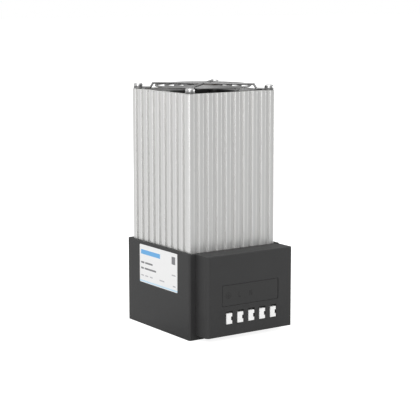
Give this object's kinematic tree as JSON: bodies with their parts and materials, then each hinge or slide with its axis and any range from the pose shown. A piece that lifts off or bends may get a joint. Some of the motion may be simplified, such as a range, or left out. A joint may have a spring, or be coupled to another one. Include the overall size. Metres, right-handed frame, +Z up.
{
  "type": "enclosure heater",
  "caption": "Upright fan heater for a control cabinet: ribbed aluminium casing on a black base with a terminal box, wire finger guard on top and a rail clip at the back.",
  "frame": {"origin": "on the ground under the middle of the overall box, between the terminal box's pushers in front and the rail clip behind; the duct's axis stands 6.05 mm behind it", "axes": "+Z up along the air duct, -Y the front with the terminals, -X the side with the label, +Y the back with the rail clip"},
  "size_m": [0.085, 0.1076, 0.1919],
  "materials": {
    "housing_plastic": "fine spark-eroded texture, satin black",
    "marking_plastic": "smooth satin black",
    "label_film": "smooth white film",
    "block_plastic": "matte dark grey",
    "pusher_plastic": "satin white",
    "spring_steel": "bright rolled",
    "contact_brass": "tinned, plain",
    "casing_aluminium": "natural anodised, fine lines along the extrusion",
    "core_aluminium": "mill finish",
    "bar_film": "amber insulating film",
    "cutout_shell": "moulded",
    "lead_insulation": "matte silicone",
    "fan_plastic": "satin black",
    "stator_iron": "varnished laminations",
    "bearing_steel": "ground",
    "guard_wire": "bright nickel-plated wire",
    "screw_steel": "zinc plated"
  },
  "bodies": {
    "heater": {"base_housing": "housing_plastic", "intake_grille": "housing_plastic", "marking_plate": "marking_plastic", "rating_label": "label_film", "terminal_block": "block_plastic", "clamp_springs": "spring_steel", "terminal_contacts": "contact_brass", "casing_profile": "casing_aluminium", "heating_core": "core_aluminium", "heating_bar": "bar_film", "thermal_cutout": "cutout_shell", "heater_leads": "lead_insulation", "fan_leads": "lead_insulation", "fan_frame": "fan_plastic", "fan_stator": "stator_iron", "fan_bearings": "bearing_steel", "finger_guard": "guard_wire", "guard_screws": "screw_steel", "base_screws": "screw_steel", "rail_clip": "housing_plastic", "rail_clip_screws": "screw_steel"},
    "fan_wheel": {"fan_rotor": "fan_plastic", "fan_shaft": "bearing_steel"},
    "pusher_1": {"terminal_pusher_1": "pusher_plastic"},
    "pusher_2": {"terminal_pusher_2": "pusher_plastic"},
    "pusher_3": {"terminal_pusher_3": "pusher_plastic"},
    "pusher_4": {"terminal_pusher_4": "pusher_plastic"},
    "pusher_5": {"terminal_pusher_5": "pusher_plastic"}
  },
  "joints": [
    {"name": "fan_spin", "type": "hinge", "parent": "heater", "child": "fan_wheel", "pos_m": [0, 0.00605, 0.04], "axis": [0, 0, 1], "continuous": true},
    {"name": "pusher_1_press", "type": "slide", "parent": "heater", "child": "pusher_1", "axis": [0, 1, 0], "range_m": [0, 0.002], "stiffness_N_per_m": 2000},
    {"name": "pusher_2_press", "type": "slide", "parent": "heater", "child": "pusher_2", "axis": [0, 1, 0], "range_m": [0, 0.002], "stiffness_N_per_m": 2000},
    {"name": "pusher_3_press", "type": "slide", "parent": "heater", "child": "pusher_3", "axis": [0, 1, 0], "range_m": [0, 0.002], "stiffness_N_per_m": 2000},
    {"name": "pusher_4_press", "type": "slide", "parent": "heater", "child": "pusher_4", "axis": [0, 1, 0], "range_m": [0, 0.002], "stiffness_N_per_m": 2000},
    {"name": "pusher_5_press", "type": "slide", "parent": "heater", "child": "pusher_5", "axis": [0, 1, 0], "range_m": [0, 0.002], "stiffness_N_per_m": 2000}
  ]
}
